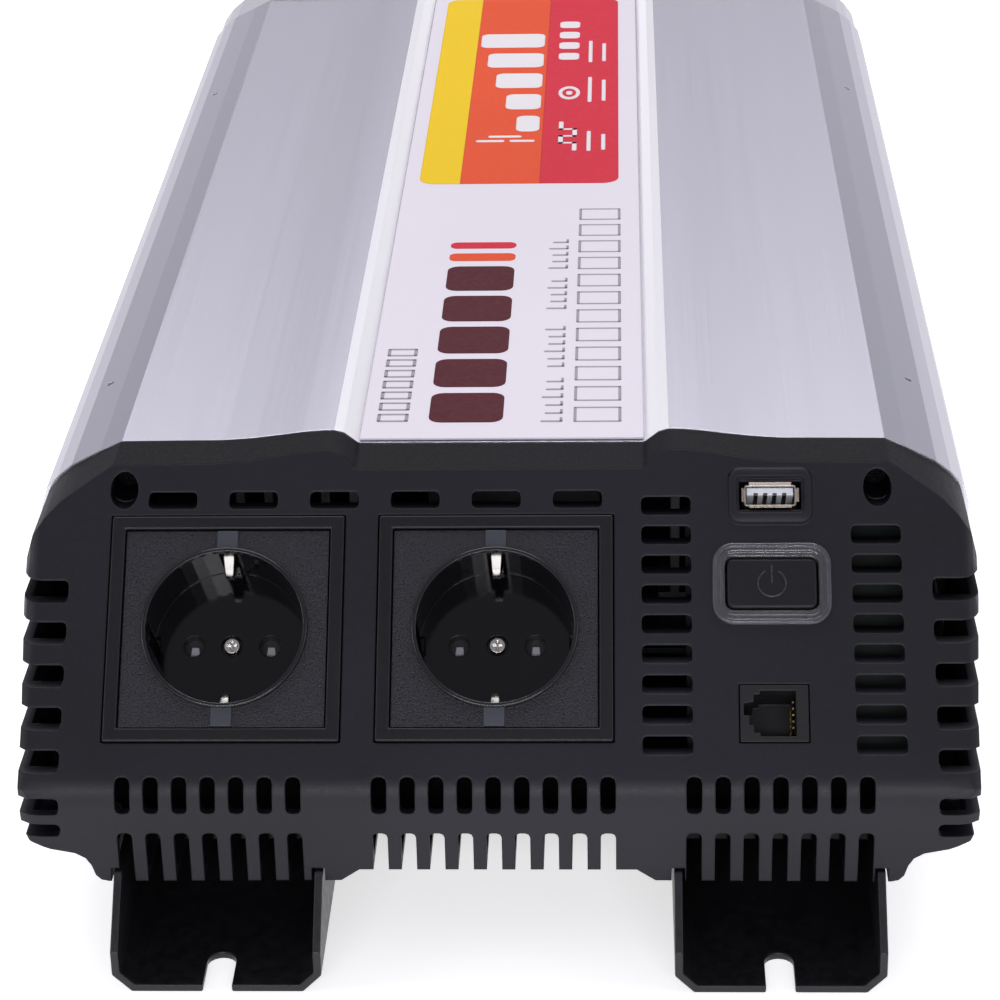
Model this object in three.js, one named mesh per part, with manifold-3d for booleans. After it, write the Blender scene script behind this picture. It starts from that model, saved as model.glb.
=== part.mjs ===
// A large DC to AC power inverter: extruded aluminium housing, sloped plastic front with two earthed sockets,
// USB port, push button and remote-control jack, a rear cap with two fans and the DC terminals, and two foot rails.
// Units are mm. While it is built, X is across, Y runs from the skirt of the front cap to the back and Z is up from
// the ground; at the end the group is moved so that its origin is the middle of the underside.
import * as THREE from "three";
import { mergeVertices } from "three/addons/utils/BufferGeometryUtils.js";
import Module from "manifold-3d";

// ---- driving dimensions ----
const GAP = 0.3; // clearance between touching pieces
const WALL = 2.5; // plastic wall
const SHELL_Y0 = 74.1, SHELL_Y1 = 456.8; // extrusion, front and rear ends
const CAP_END = 73.8; // rear edge of the front cap
const FACE_Y = 59.3, FACE_Z = 106; // top edge of the 45 degree face
const BEND_Z = FACE_Z - FACE_Y; // where the face meets the vertical skirt
const BEND_R = 10, CORNER_R = 5, SKIRT_CORNER_R = 7, SLOT_R = 1.2;
const REAR_Y0 = 457.1, REAR_Y1 = 479.8; // rear cap
const SPLIT_Z = 40; // lower edge of the shell sides
const FLOOR_Y = 23.7; // rear edge of the front cap's floor
const TRAY_Z0 = 25.6, TRAY_T = 1.5;
const FOOT_X = 67.9, FOOT_HALF = 25.4, FOOT_T = 2, FOOT_H = 25.3, FOOT_FRONT = -14.2, FOOT_REAR = 494;
const FOOT_CH = 4.6; // 45 degree bend at the bottom corners of the rail
const NOTCH_W = 7, NOTCH_L = 14.2;
const SOCKET_X = [-66.7, -0.7], SOCKET_S = 42; // socket centres, S is measured down the face
const FRAME_W = 57.4, PLATE_W = 50, CUP_R = 19.3, RING_R = 20.3, CUP_DEPTH = 16;
const PIN_X = 9.5, PIN_R = 2.7;
const PANEL_X = 66.6; // column with the USB port, the button and the jack
const USB_S = 8.5, BTN_S = 31.2, RJ_S = 63.8;
const BEZEL_W = 28.8, BEZEL_H = 20.6, BEZEL_R = 5.2, BTN_W = 21.8, BTN_H = 12.6, BTN_TRAVEL = 2;
const CAP_SCREW_X = 92.9, CAP_SCREW_S = 6.4;
const FAN_X = 70, FAN_Z = 65.5, FAN_SIZE = 60, FAN_T = 20;
const TERM_X = 21, TERM_Z = 68;
const LABEL_HALF = 35.75, LABEL_T = 0.5, CHANNEL_Z = 105.5;
const PITCH = 6.86, GRILLE_W = 3.7, GRILLE_X = -0.8; // vertical slots along the bottom

const wasm = await Module();
wasm.setup();
const R2 = Math.SQRT1_2;

// ---- helpers ----
function solid(g) {
  const q = g.index ? g.toNonIndexed() : g;
  const p = new THREE.BufferGeometry().setAttribute("position", q.getAttribute("position"));
  const m = mergeVertices(p, 1e-4);
  return new wasm.Manifold(new wasm.Mesh({
    numProp: 3, vertProperties: new Float32Array(m.attributes.position.array), triVerts: new Uint32Array(m.index.array),
  }));
}
const join = (list) => list.reduce((a, b) => a.add(b));
const cut = (a, list) => (list.length ? a.subtract(join(list)) : a);
const shape = (pts) => new THREE.Shape(pts.map((p) => new THREE.Vector2(p[0], p[1])));
const extrude = (s, depth, seg = 6) => new THREE.ExtrudeGeometry(s, { depth, bevelEnabled: false, curveSegments: seg, steps: 1 });
const V = (x, y, z) => new THREE.Vector3(x, y, z);
const X = V(1, 0, 0), Y = V(0, 1, 0), Z = V(0, 0, 1);
// the frame of the sloped face: x across, u up the slope, w straight out of it
const U = V(0, R2, R2), W = V(0, -R2, R2);
const FACE = new THREE.Matrix4().makeBasis(X, U, W).setPosition(0, FACE_Y, FACE_Z);
const onFace = (g) => solid(g.applyMatrix4(FACE));

function box(x0, x1, y0, y1, z0, z1) {
  return solid(new THREE.BoxGeometry(x1 - x0, y1 - y0, z1 - z0).translate((x0 + x1) / 2, (y0 + y1) / 2, (z0 + z1) / 2));
}
const fbox = (x0, x1, s0, s1, w0, w1) =>
  onFace(new THREE.BoxGeometry(x1 - x0, s1 - s0, w1 - w0).translate((x0 + x1) / 2, -(s0 + s1) / 2, (w0 + w1) / 2));
const prismY = (pts, y0, y1) => solid(extrude(shape(pts), y1 - y0).rotateX(Math.PI / 2).translate(0, y1, 0)); // pts are x,z
const prismX = (pts, x0, x1) => solid(extrude(shape(pts), x1 - x0).applyMatrix4(new THREE.Matrix4().makeBasis(Y, Z, X)).translate(x0, 0, 0)); // pts are y,z
const prismZ = (pts, z0, z1) => solid(extrude(shape(pts), z1 - z0).translate(0, 0, z0));
const fprism = (s, w0, w1, seg) => onFace(extrude(s, w1 - w0, seg).translate(0, 0, w0)); // shape in x,u
const fprofile = (pts, x0, x1) => // pts are u,w
  onFace(extrude(shape(pts), x1 - x0).applyMatrix4(new THREE.Matrix4().makeBasis(Y, Z, X)).translate(x0, 0, 0));
const cylY = (x, z, r, y0, y1, seg = 24, r2 = r) =>
  solid(new THREE.CylinderGeometry(r2, r, y1 - y0, seg).translate(x, (y0 + y1) / 2, -0).translate(0, 0, z));
const cylZ = (x, y, r, z0, z1, seg = 24, r2 = r) =>
  solid(new THREE.CylinderGeometry(r2, r, z1 - z0, seg).rotateX(Math.PI / 2).translate(x, y, (z0 + z1) / 2));
const cylW = (x, s, r, w0, w1, seg = 24, r2 = r) =>
  onFace(new THREE.CylinderGeometry(r2, r, w1 - w0, seg).rotateX(Math.PI / 2).translate(x, -s, (w0 + w1) / 2));
function rrect(cx, cy, w, h, r) {
  const s = new THREE.Shape(), x0 = cx - w / 2, x1 = cx + w / 2, y0 = cy - h / 2, y1 = cy + h / 2;
  s.moveTo(x0 + r, y0).lineTo(x1 - r, y0);
  s.absarc(x1 - r, y0 + r, r, -Math.PI / 2, 0).lineTo(x1, y1 - r);
  s.absarc(x1 - r, y1 - r, r, 0, Math.PI / 2).lineTo(x0 + r, y1);
  s.absarc(x0 + r, y1 - r, r, Math.PI / 2, Math.PI).lineTo(x0, y0 + r);
  s.absarc(x0 + r, y0 + r, r, Math.PI, Math.PI * 1.5);
  return s;
}
// a hole along Y with rounded corners
const slotY = (x0, x1, z0, z1, y0, y1, r) => solid(extrude(rrect((x0 + x1) / 2, (z0 + z1) / 2, x1 - x0, z1 - z0, r), y1 - y0, 1).rotateX(Math.PI / 2).translate(0, y1, 0));
const mirrored = (half) => [...half, ...half.map(([x, z]) => [-x, z]).reverse()];
const group = new THREE.Group();
group.name = "power_inverter";
function piece(name, s, color, roughness, metalness) {
  const m = s.getMesh();
  const g = new THREE.BufferGeometry();
  const n = m.numProp, v = new Float32Array(m.numVert * 3);
  for (let i = 0; i < m.numVert; i++) v.set(m.vertProperties.subarray(i * n, i * n + 3), i * 3);
  g.setAttribute("position", new THREE.BufferAttribute(v, 3)).setIndex(new THREE.BufferAttribute(m.triVerts, 1));
  g.computeVertexNormals();
  const mesh = new THREE.Mesh(g, new THREE.MeshStandardMaterial({ color, roughness, metalness }));
  mesh.name = name;
  group.add(mesh);
}
const zs = (s) => FACE_Z - s * R2; // height and depth of a point S down the face
const ys = (s) => FACE_Y - s * R2;
// a slot moulded straight back through the sloped face
const slotS = (x0, x1, s, h, back = 9, r = 1) => slotY(x0, x1, zs(s) - (h * R2) / 2, zs(s) + (h * R2) / 2, ys(s) - 6, ys(s) + back, r);

// ---- cross-sections, right half, x and z ----
const SHELL_OUT = [[36.2, CHANNEL_Z], [37.4, 106.5], [39.6, 108.3], [42, 109], [45, 108.95], [50, 108.55], [56, 107.7], [62, 106.95],
  [70, 106.3], [80, 106.05], [96, 106], [101.6, 103.6], [109.2, 99.7], [113, 96.7], [116.2, 93], [117.8, 88], [118, 82], [118, SPLIT_Z]];
const SHELL_IN = [[35.4, 103.4], [36.6, 104.2], [39, 105.9], [42, 106.9], [45, 106.9], [50, 106.5], [56, 105.7], [62, 104.9], [70, 104.3],
  [95.5, 104], [100.8, 101.8], [108.2, 98], [111.6, 95.3], [114.5, 92], [115.8, 87.5], [116, 82], [116, SPLIT_Z]];
const CAP_TOP = [[35.6, 105.2], [37, 106.3], [39.4, 108], [42, 108.8], [45, 108.75], [50, 108.4], [56, 107.6], [62, 106.9],
  [70, 106.4], [80, 106.25], [95.9, 106.2], [101.3, 103.4], [108.8, 99.3], [112.5, 96.3], [115.4, 92.7], [116.8, 87.8], [117, 82]];
// the sides draw in from the top down to the bend
const CAP_BOTTOM = [[115.4, 60], [115.3, 40], [114.9, 36.5], [113.3, 33.6], [108.2, 31.6], [102.3, 30.4], [99.9, 29], [98.6, 27], [97.7, 24.2], [96.4, 22.9], [94.6, 22.5], [38, 22.8], [33.5, 25.85]];
const CAP_IN = [[35, 102.7], [70, 103.3], [94.5, 103.2], [107.1, 96.8], [112.8, 91], [114.3, 86], [114.5, 82], [112.9, 60], [112.9, 46], [112.4, 42.6],
  [110.9, 37.2], [109.3, 35.3], [104.4, 33.7], [98.1, 32.1], [94.9, 28.4], [93.4, 25.3], [38.9, 25.3], [34.4, 28.35]];
const LIP_OUT = [[36, 103.1], [40, 103.65], [95, 103.65], [107.5, 97.4], [113.6, 91.2], [115, 86.5], [115.2, 82], [115.2, 54]];
const LIP_IN = [[36, 101.3], [94.2, 101.3], [106.4, 95.8], [112.2, 90.2], [113.4, 86], [113.6, 82], [113.6, 54]];
const flip = (pts) => pts.map(([x, z]) => [-x, z]);
const ring = (out, inn) => [...out, ...[...inn].reverse(), ...flip(inn), ...flip([...out].reverse())];

// ---- aluminium shell ----
{
  let s = prismY(ring(SHELL_OUT, SHELL_IN), SHELL_Y0, SHELL_Y1);
  // four small locking dimples on the chamfers
  // the dimples' axis is turned from Y to the chamfer's normal
  const dn = [];
  for (const sx of [-1, 1]) for (const y of [121.3, 364.8])
    dn.push(solid(new THREE.CylinderGeometry(1.1, 1.1, 3, 12).rotateX(Math.PI / 2).rotateY(sx * 0.475).translate(sx * 106, y, 101.4)));
  s = cut(s, dn);
  // long screw channels inside the extrusion that the cap screws bite into
  for (const sx of [-1, 1]) {
    const c = prismY([[sx * 90, 104.5], [sx * 96, 104.5], [sx * 96, 97.6], [sx * 90, 97.6]], SHELL_Y0 + 7, SHELL_Y1 - 7);
    const b = cylY(sx * CAP_SCREW_X, zs(CAP_SCREW_S), 1.9, SHELL_Y0, SHELL_Y1, 12);
    s = s.add(c).subtract(b);
  }
  piece("top_shell", s, 0xcfcdd8, 0.38, 0.85);
}

// ---- label in the channel ----
piece("label_plate", box(-LABEL_HALF, LABEL_HALF, SHELL_Y0 + 0.4, SHELL_Y1 - 0.6, CHANNEL_Z + GAP, CHANNEL_Z + GAP + LABEL_T), 0xeee8f2, 0.45, 0);

// ---- front cap ----
const bendArc = [];
for (let i = 0; i <= 5; i++) {
  const a = Math.PI - (i / 5) * (Math.PI / 4); // arc centre sits BEND_R behind the skirt
  bendArc.push([BEND_R + BEND_R * Math.cos(a), BEND_Z - BEND_R * Math.tan(Math.PI / 8) + BEND_R * Math.sin(a)]);
}
const sideOut = [[0, 15], ...bendArc, [FACE_Y + 16, FACE_Z + 16], [90, FACE_Z + 16], [90, 15]];
const sideIn = [[WALL, 15], [WALL, BEND_Z + WALL - WALL / R2], [FACE_Y + 16 + WALL / R2, FACE_Z + 16], [120, FACE_Z + 16], [120, 15]];
// rounded corner between front and sides, as a profile in plan
function cornerPlan(half, depth, R = CORNER_R) {
  const pts = [[-half, depth], [half, depth]];
  for (let i = 0; i <= 4; i++) {
    const a = (i / 4) * (Math.PI / 2);
    pts.push([half - R + R * Math.cos(a), R - R * Math.sin(a)]);
  }
  for (let i = 4; i >= 0; i--) {
    const a = (i / 4) * (Math.PI / 2);
    pts.push([-(half - R + R * Math.cos(a)), R - R * Math.sin(a)]);
  }
  return pts;
}
{
  const outer = prismY(mirrored([...CAP_TOP, ...CAP_BOTTOM]), 0, CAP_END);
  let s = outer.intersect(prismX(sideOut, -130, 130));
  s = s.intersect(prismZ(cornerPlan(117.2, 200, SKIRT_CORNER_R), -10, 160)); // skirt corners
  // sloped corners: the same plan, laid in the face's own frame
  const plan = shape(cornerPlan(117.2, 200));
  const g = extrude(plan, 320).translate(0, 0, -200)
    .applyMatrix4(new THREE.Matrix4().makeBasis(X, W.clone().negate(), U)).translate(0, FACE_Y, FACE_Z);
  s = s.intersect(solid(g));
  const inner = prismY(mirrored(CAP_IN), -1, CAP_END + 1).intersect(prismX(sideIn, -130, 130));
  s = s.subtract(inner);
  s = s.subtract(box(-130, 130, FLOOR_Y, CAP_END + 1, 0, SPLIT_Z)); // the tray takes over behind the floor
  s = s.add(prismY(ring(LIP_OUT, LIP_IN), 68.8, 79.8)); // lip that enters the shell
  // bosses for the two screws
  for (const sx of [-1, 1]) s = s.add(cylY(sx * CAP_SCREW_X, zs(CAP_SCREW_S), 5, 56, CAP_END, 20).intersect(outer).intersect(prismX(sideOut, -130, 130)));
  const c = [];
  for (const sx of [-1, 1]) {
    c.push(cylY(sx * CAP_SCREW_X, zs(CAP_SCREW_S), 3.5, 30, 65.8, 24), cylY(sx * CAP_SCREW_X, zs(CAP_SCREW_S), 1.9, 30, 82, 12));
  }
  // openings for the sockets
  for (const x of SOCKET_X) c.push(fbox(x - FRAME_W / 2 - GAP, x + FRAME_W / 2 + GAP, SOCKET_S - FRAME_W / 2 - GAP, SOCKET_S + FRAME_W / 2 + GAP, -9, 5));
  // vents: top row, the two columns, and the corner slots
  for (let i = 0; i < 6; i++) c.push(slotS(-86.75 + 20 * i, -74.65 + 20 * i, 9.2, 4.4));
  for (let i = 0; i < 9; i++) c.push(slotS(41 - 6.1, 41 + 6.1, 11 + 7.6 * i, 4.7));
  for (let i = 1; i < 9; i++) c.push(slotS(92.15 - 6.1, 92.15 + 6.1, 11 + 7.6 * i, 4.7));
  for (const sx of [-1, 1]) {
    const a = sx > 0 ? 105.4 : -130, b = sx > 0 ? 130 : -105.4;
    for (const q of [32.7, 43.4, 54.3, 65, 75.7]) c.push(slotS(a, b, q, 5.7, 17));
    c.push(slotY(a, b, 41.1, 45.4, -2, 17, SLOT_R), slotY(a, b, 35.1, 38.5, -2, 17, SLOT_R));
  }
  // vertical slots round the bend and the open comb at the bottom
  for (let i = -13; i <= 13; i++) {
    if (Math.abs(i) === 5 || Math.abs(i) === 6) continue;
    const x = GRILLE_X + i * PITCH, h = GRILLE_W / 2;
    c.push(slotY(x - h, x + h, 41.45, 49.8, -2, 7.5, SLOT_R), slotY(x - h, x + h, 15, 36, -2, 19, SLOT_R));
  }
  // notches for the flanges of the foot rails
  for (const sx of [-1, 1]) for (const e of [-1, 1]) {
    const m = sx * FOOT_X + e * (FOOT_HALF - FOOT_T / 2);
    c.push(box(m - 1.6, m + 1.6, -2, 30, 15, 26.2));
  }
  // raised frame of the USB port, and the button's and the jack's openings
  s = s.add(onFace(new THREE.ExtrudeGeometry(rrect(PANEL_X, -USB_S, 17.7, 11.6, 1.6), { depth: 0.2, bevelEnabled: true, bevelThickness: 1.2, bevelSize: 1.6, bevelSegments: 2, curveSegments: 3, steps: 1 }).translate(0, 0, -0.1)));
  c.push(fprism(rrect(PANEL_X, -USB_S, 16.6, 9.4, 1.2), 0.3, 3, 2));
  c.push(fbox(PANEL_X - 7.3 - GAP, PANEL_X + 7.3 + GAP, USB_S - 3.4 - GAP, USB_S + 3.4 + GAP, -6, 3));
  c.push(fprism(rrect(PANEL_X, -BTN_S, 26.4, 18.2, 4), -6, 3, 4));
  c.push(fbox(PANEL_X - 8.2 - GAP, PANEL_X + 8.2 + GAP, RJ_S - 7.05 - GAP, RJ_S + 7.05 + GAP, -6, 3));
  s = cut(s, c);
  piece("front_cap", s, 0x28262d, 0.6, 0);
}

// ---- sockets ----
const HEX = { frame: 0x211f25, plate: 0x1c1b1f, metal: 0xc9c6c0, brass: 0xc2a25a, shutter: 0xb9b8bd, block: 0x2a2a2e };
for (const [k, x] of [["left", SOCKET_X[0]], ["centre", SOCKET_X[1]]]) {
  const S = SOCKET_S, h = FRAME_W / 2, p = PLATE_W / 2;
  let frame = fbox(x - h, x + h, S - h, S + h, -7, 0.5);
  frame = frame.subtract(fbox(x - p - GAP, x + p + GAP, S - p - GAP, S + p + GAP, -8, 2));
  piece(k + "_socket_frame", frame, HEX.frame, 0.45, 0);
  // plate and cup in one moulding
  let ins = fbox(x - p, x + p, S - p, S + p, -3.4, -0.3);
  ins = ins.add(cylW(x, S, RING_R + 1.4, -CUP_DEPTH - 3, -1, 40)).add(cylW(x, S, RING_R, -1.5, 1.1, 40));
  for (const e of [-1, 1]) ins = ins.add(fbox(x - 2.5, x + 2.5, S + (e > 0 ? 20 : -24.8), S + (e > 0 ? 24.8 : -20), -2, 0.3)); // pads above and below the ring
  const c = [cylW(x, S, CUP_R, -CUP_DEPTH, 3, 40)];
  for (const e of [-1, 1]) {
    c.push(cylW(x + e * PIN_X, S, PIN_R, -CUP_DEPTH - 4, -CUP_DEPTH + 1, 16)); // pin holes
    c.push(fbox(x - 2.2, x + 2.2, S + (e > 0 ? 18.5 : -21.3), S + (e > 0 ? 21.3 : -18.5), -CUP_DEPTH - 4, -0.9)); // earth clip
    c.push(fbox(x + (e > 0 ? 18 : -21.2), x + (e > 0 ? 21.2 : -18), S - 2.4, S + 2.4, -CUP_DEPTH - 1, -1)); // side key ways
  }
  c.push(cylW(x, S, 1.8, -CUP_DEPTH - 4, -CUP_DEPTH + 1, 12), cylW(x, S, 2.7, -CUP_DEPTH - 1.3, -CUP_DEPTH + 1, 16)); // screw and its counterbore
  piece(k + "_socket_insert", cut(ins, c), HEX.plate, 0.3, 0);
  // earth clip: one sprung strip that shows at both ends of the cup
  const side = [[20.8, -1.3], [20.6, -2.2], [17.4, -4.2], [17.2, -5.4], [20.3, -9], [20.3, -21.9]];
  const inn = [[19.5, -21.1], [19.5, -9.2], [16.2, -5.7], [16.4, -3.8], [19.8, -1.6], [20.1, -1.25]];
  let clip = fprofile([...side, ...[...side].reverse().map(([u, w]) => [-u, w]), ...[...inn].reverse().map(([u, w]) => [-u, w]), ...inn]
    .map(([u, w]) => [u - S, w]), x - 1.6, x + 1.6);
  clip = clip.add(fbox(x - 3.6, x + 3.6, S - 6, S + 6, -21.9, -21.1)).subtract(cylW(x, S, 2, -24, -19, 12));
  piece(k + "_socket_earth_clip", clip, HEX.metal, 0.3, 0.9);
  // centre screw with a cross recess
  let sc = cylW(x, S, 2.1, -CUP_DEPTH - 1, -CUP_DEPTH + 0.4, 20, 1.9).add(cylW(x, S, 1.4, -27, -CUP_DEPTH - 0.8, 12));
  sc = sc.subtract(fbox(x - 1.3, x + 1.3, S - 0.3, S + 0.3, -CUP_DEPTH - 0.4, 0)).subtract(fbox(x - 0.3, x + 0.3, S - 1.3, S + 1.3, -CUP_DEPTH - 0.4, 0));
  piece(k + "_socket_screw", sc, HEX.metal, 0.3, 0.9);
  // turning shutter behind the cup floor, its holes 35 degrees away from the pin holes at rest
  let sh = cylW(x, S, 13.2, -20.7, -19.4, 28).subtract(cylW(x, S, 1.9, -22, -18, 12));
  for (const e of [0, Math.PI]) {
    const a = e + (35 * Math.PI) / 180;
    sh = sh.subtract(cylW(x + PIN_X * Math.cos(a), S - PIN_X * Math.sin(a), 2.9, -22, -18, 14));
  }
  piece(k + "_socket_shutter", sh, HEX.shutter, 0.5, 0);
  // contact block with one sleeve for each pin
  let bl = fbox(x - 16, x + 16, S - 7, S + 7, -38, -22.2);
  bl = bl.subtract(cylW(x, S, 2.2, -39, -20, 12));
  for (const [n, e] of [["left", -1], ["right", 1]]) {
    bl = bl.subtract(cylW(x + e * PIN_X, S, 3.8, -40, -20, 16));
    const t = cylW(x + e * PIN_X, S, 3.5, -37, -22.6, 16).subtract(cylW(x + e * PIN_X, S, 2.45, -35, -20, 16));
    piece(k + "_socket_" + n + "_contact", t, HEX.brass, 0.3, 0.9);
  }
  piece(k + "_socket_contact_block", bl, HEX.block, 0.6, 0);
}

// ---- USB port ----
{
  let s = fbox(PANEL_X - 7.3, PANEL_X + 7.3, USB_S - 3.4, USB_S + 3.4, -13, 0.9);
  s = s.subtract(fbox(PANEL_X - 6.7, PANEL_X + 6.7, USB_S - 2.8, USB_S + 2.8, -12.2, 2));
  piece("usb_shell", s, 0xb8b7bb, 0.28, 0.9);
  piece("usb_tongue", fbox(PANEL_X - 5.7, PANEL_X + 5.7, USB_S - 2.3, USB_S - 0.4, -11.8, -0.6), 0xf1f0f4, 0.5, 0);
}

// ---- power button ----
{
  let b = fprism(rrect(PANEL_X, -BTN_S, BEZEL_W, BEZEL_H, BEZEL_R), GAP, 1.3, 5);
  b = b.add(fprism(rrect(PANEL_X, -BTN_S, 25.8, 17.6, 3.7), -5, 0.6, 5));
  b = b.subtract(fprism(rrect(PANEL_X, -BTN_S, BTN_W + 0.8, BTN_H + 0.8, 2.2), -7, 3, 4));
  piece("power_button_bezel", b, 0x3c3b42, 0.15, 0);
  let p = fprism(rrect(PANEL_X, -BTN_S, BTN_W, BTN_H, 1.8), -5.4, 0.7, 4);
  p = p.add(fprism(rrect(PANEL_X, -BTN_S, 6, 4, 0.8), -8.4, -5, 2));
  piece("power_button", p, 0x17161a, 0.35, 0);
  piece("power_switch_body", (() => {
    let q = fbox(PANEL_X - 9, PANEL_X + 9, BTN_S - 6, BTN_S + 6, -17.2, -7.8);
    return q.subtract(fbox(PANEL_X - 3.6, PANEL_X + 3.6, BTN_S - 2.6, BTN_S + 2.6, -11.6, -7));
  })(), 0x2b2b30, 0.6, 0);
}

// ---- remote-control jack, turned on its side: latch way on the left, contacts on the right ----
{
  let s = fbox(PANEL_X - 8.2, PANEL_X + 8.2, RJ_S - 7.05, RJ_S + 7.05, -16.8, 0.2);
  const c = [fbox(PANEL_X - 3.4, PANEL_X + 5.2, RJ_S - 5.65, RJ_S + 5.65, -12, 1)];
  c.push(fbox(PANEL_X - 4.9, PANEL_X - 3.3, RJ_S - 4.75, RJ_S + 4.75, -12, 1));
  c.push(fbox(PANEL_X - 6, PANEL_X - 4.8, RJ_S - 2.85, RJ_S + 2.85, -12, 1));
  c.push(fbox(PANEL_X - 7.3, PANEL_X - 5.9, RJ_S - 2.6, RJ_S + 0.4, -12, 1));
  piece("remote_jack", cut(s, c), 0x1b1a1e, 0.5, 0);
  const k = [];
  for (let i = -2; i <= 2; i++) k.push(fprofile([[-RJ_S + i * 1.6 - 0.25, -11.7], [-RJ_S + i * 1.6 + 0.25, -11.7], [-RJ_S + i * 1.6 + 0.25, -1.2], [-RJ_S + i * 1.6 - 0.25, -1.2]], PANEL_X + 4.3, PANEL_X + 4.8));
  k.push(fbox(PANEL_X + 4.2, PANEL_X + 4.9, RJ_S - 4, RJ_S + 4, -11.7, -10.6));
  piece("remote_jack_contacts", join(k), 0xc9a24a, 0.25, 1);
}

// ---- boards ----
{
  let b = fbox(46, 106, 5, 70, -19.2, -17.6);
  piece("front_board", b, 0x23603a, 0.5, 0);
  let m = box(-104, 104, 88, 448, 37.2, 38.8);
  for (const sx of [-1, 1]) for (const y of [97, 439]) m = m.subtract(cylZ(sx * 96, y, 1.8, 30, 45, 12));
  piece("main_board", m, 0x2a6a3c, 0.5, 0);
}

// ---- tray ----
{
  // the edges turn out under the shell's sides
  const o = [[116.5, 39.6], [116.5, 38.1], [110.2, 38.1], [107.4, 33.9], [99.2, 32], [95.6, 28.4], [94.4, TRAY_Z0]];
  const i = [[109.4, 39.6], [106.5, 35.3], [98.6, 33.5], [94.4, 29.2], [93.6, TRAY_Z0 + TRAY_T]];
  let s = prismY([...o, ...[...o].reverse().map(([x, z]) => [-x, z]), ...i.map(([x, z]) => [-x, z]), ...[...i].reverse()], 24, REAR_Y0 + 2.4);
  for (const sx of [-1, 1]) for (const y of [97, 439]) s = s.add(cylZ(sx * 88, y, 4, TRAY_Z0 + 1, 36.9, 16));
  const c = [];
  // the turned-out edges are trimmed to the caps' narrower sides
  for (const sx of [-1, 1]) for (const [y0, y1] of [[20, SHELL_Y0], [SHELL_Y1, 470]]) c.push(box(sx > 0 ? 114.4 : -120, sx > 0 ? 120 : -114.4, y0, y1, 30, 45));
  // air slots under the board
  for (let k = 0; k < 9; k++) for (const cx of [-1, 1]) c.push(box(cx * 22 - 14, cx * 22 + 14, 150 + k * 24, 154.6 + k * 24, 20, 30));
  for (const sx of [-1, 1]) for (const y of [60, 425]) c.push(cylZ(sx * (FOOT_X + 17.5) - 0, y, 2.1, 20, 30, 12));
  piece("base_tray", cut(s, c), 0x3a3a40, 0.55, 0.6);
}

// ---- foot rails ----
for (const [k, sx] of [["left", -1], ["right", 1]]) {
  const a = FOOT_HALF, t = FOOT_T, q = FOOT_CH, H = FOOT_H, lip = 13;
  const pts = [[-a, H], [-a, q], [-a + q, 0], [a - q, 0], [a, q], [a, H], [a - lip, H], [a - lip, H - t], [a - t, H - t], [a - t, q + 0.8],
    [a - q - 0.8, t], [-a + q + 0.8, t], [-a + t, q + 0.8], [-a + t, H - t], [-a + lip, H - t], [-a + lip, H]]
    .map(([x, z]) => [x + sx * FOOT_X, z]);
  let s = prismY(pts, FOOT_FRONT, FOOT_REAR);
  const cx = sx * FOOT_X;
  const c = [];
  for (const [end, dir] of [[0, -1], [REAR_Y1, 1]]) {
    const y1 = end + dir * 30;
    c.push(prismX([[end, H], [y1, H - 30], [y1, H + 5], [end, H + 5]], cx - 40, cx + 40)); // ends cut at 45 degrees
    // no lips beside the caps' floors
    const l0 = dir < 0 ? -20 : REAR_Y0 + 0.5, l1 = dir < 0 ? FLOOR_Y + 3 : REAR_Y1 + 20;
    c.push(box(cx - a + t, cx + a - t, l0, l1, H - t - 0.5, H + 1));
    const n0 = dir < 0 ? FOOT_FRONT - 1 : FOOT_REAR - NOTCH_L + NOTCH_W / 2, n1 = dir < 0 ? FOOT_FRONT + NOTCH_L - NOTCH_W / 2 : FOOT_REAR + 1;
    c.push(box(cx - NOTCH_W / 2, cx + NOTCH_W / 2, n0, n1, -1, 5));
    c.push(cylZ(cx, dir < 0 ? n1 : n0, NOTCH_W / 2, -1, 5, 20));
  }
  for (const y of [60, 425]) c.push(cylZ(cx + sx * 17.5, y, 2.1, 20, 30, 12));
  piece(k + "_foot_rail", cut(s, c), 0x38363c, 0.5, 0.4);
  for (const [n, y] of [["front", 60], ["rear", 425]]) {
    const x = cx + sx * 17.5;
    piece(k + "_foot_" + n + "_screw", cylZ(x, y, 3.6, H - t - 2.2, H - t - GAP, 16).add(cylZ(x, y, 1.7, H - t - 1, 29.5, 12)), 0xb4b2b0, 0.35, 0.9);
  }
}

// ---- cap screws ----
for (const [k, sx] of [["left", -1], ["right", 1]]) {
  const x = sx * CAP_SCREW_X, z = zs(CAP_SCREW_S);
  let s = cylY(x, z, 2.9, 63.2, 65.5, 18).add(cylY(x, z, 1.5, 65, 86, 12));
  s = s.subtract(box(x - 1.6, x + 1.6, 62.8, 64.1, z - 0.35, z + 0.35)).subtract(box(x - 0.35, x + 0.35, 62.8, 64.1, z - 1.6, z + 1.6));
  piece("front_" + k + "_cap_screw", s, 0x4a494e, 0.35, 0.9);
}

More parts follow.
